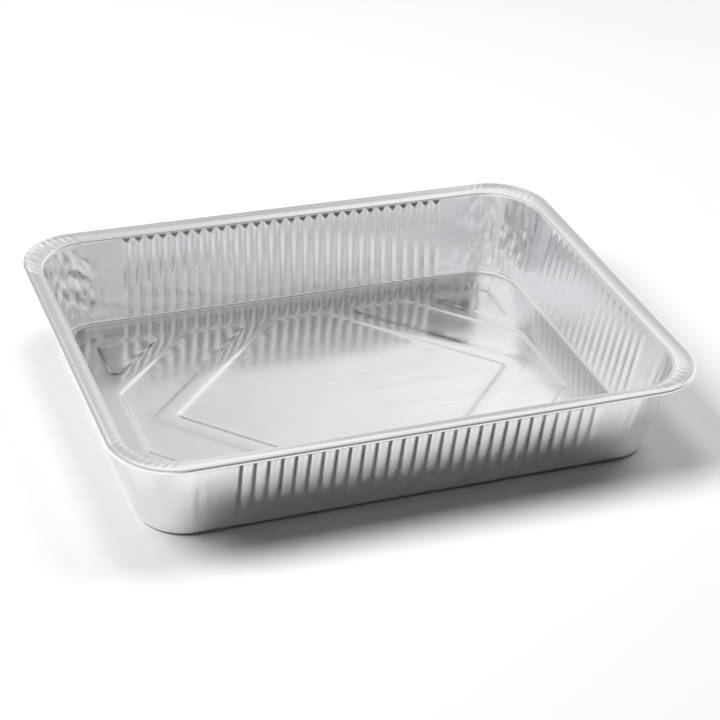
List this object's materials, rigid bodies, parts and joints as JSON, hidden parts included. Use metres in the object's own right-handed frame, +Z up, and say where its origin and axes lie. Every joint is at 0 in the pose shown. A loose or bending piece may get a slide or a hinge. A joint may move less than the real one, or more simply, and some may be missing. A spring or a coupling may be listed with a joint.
{
  "type": "aluminium foil tray",
  "caption": "Shallow rectangular foil tray with fluted walls, pleated rounded corners, a flat flange with a rolled edge, and a ribbed floor.",
  "frame": {"origin": "under the middle of the floor, on the plane that the tray stands on", "axes": "+X along the tray's length, +Y across its width, +Z up out of its open mouth"},
  "size_m": [0.322, 0.242, 0.0531],
  "materials": {
    "foil": "satin rolled foil, slightly mirror-like along the rolling direction"
  },
  "bodies": {
    "root": {"foil_tray": "foil"}
  },
  "joints": []
}
